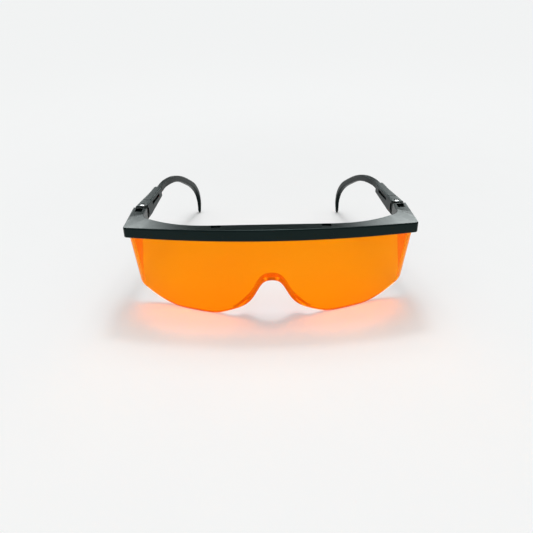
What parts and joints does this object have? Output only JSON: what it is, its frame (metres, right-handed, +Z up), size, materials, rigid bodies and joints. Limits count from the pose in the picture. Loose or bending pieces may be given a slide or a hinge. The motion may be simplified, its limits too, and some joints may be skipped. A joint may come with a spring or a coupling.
{
  "type": "safety glasses",
  "caption": "Wrap-around safety glasses: orange one-piece lens with side shields, black brow bar, temples that tilt, fold and slide in length.",
  "frame": {"origin": "centre of the footprint on the surface the glasses stand on, temples open", "axes": "+X to the wearer's left side, which is the right of a front view; +Y backwards along the temples; +Z up. The lens faces -Y"},
  "size_m": [0.1546, 0.1514, 0.0533],
  "materials": {
    "brow_nylon": "semi-gloss moulded black",
    "lens_polycarbonate": "clear orange polycarbonate, polished",
    "hinge_nylon": "satin moulded black",
    "pin_steel": "bright steel",
    "temple_nylon": "semi-gloss moulded black",
    "tip_nylon": "satin moulded black"
  },
  "bodies": {
    "front": {"brow_bar": "brow_nylon", "lens": "lens_polycarbonate", "tilt_pin_left": "pin_steel", "tilt_pin_right": "pin_steel"},
    "carrier_left": {"joint_block_left": "hinge_nylon", "fold_pin_left": "pin_steel"},
    "temple_left": {"temple_sleeve_left": "temple_nylon"},
    "tip_left": {"temple_tip_left": "tip_nylon"},
    "carrier_right": {"joint_block_right": "hinge_nylon", "fold_pin_right": "pin_steel"},
    "temple_right": {"temple_sleeve_right": "temple_nylon"},
    "tip_right": {"temple_tip_right": "tip_nylon"}
  },
  "joints": [
    {"name": "tilt_left", "type": "hinge", "parent": "front", "child": "carrier_left", "pos_m": [-0.0734, -0.0468, 0.0473], "axis": [1, 0, 0], "range_deg": [-6, 6]},
    {"name": "fold_left", "type": "hinge", "parent": "carrier_left", "child": "temple_left", "pos_m": [-0.0726, -0.0344, 0.0473], "axis": [0, 0, -1], "range_deg": [0, 90]},
    {"name": "length_left", "type": "slide", "parent": "temple_left", "child": "tip_left", "axis": [0.1219, 0.9925, 0], "range_m": [-0.0096, 0.0048]},
    {"name": "tilt_right", "type": "hinge", "parent": "front", "child": "carrier_right", "pos_m": [0.0734, -0.0468, 0.0473], "axis": [1, 0, 0], "range_deg": [-6, 6]},
    {"name": "fold_right", "type": "hinge", "parent": "carrier_right", "child": "temple_right", "pos_m": [0.0726, -0.0344, 0.0473], "axis": [0, 0, 1], "range_deg": [0, 80]},
    {"name": "length_right", "type": "slide", "parent": "temple_right", "child": "tip_right", "axis": [-0.1219, 0.9925, 0], "range_m": [-0.0048, 0.0096]}
  ]
}
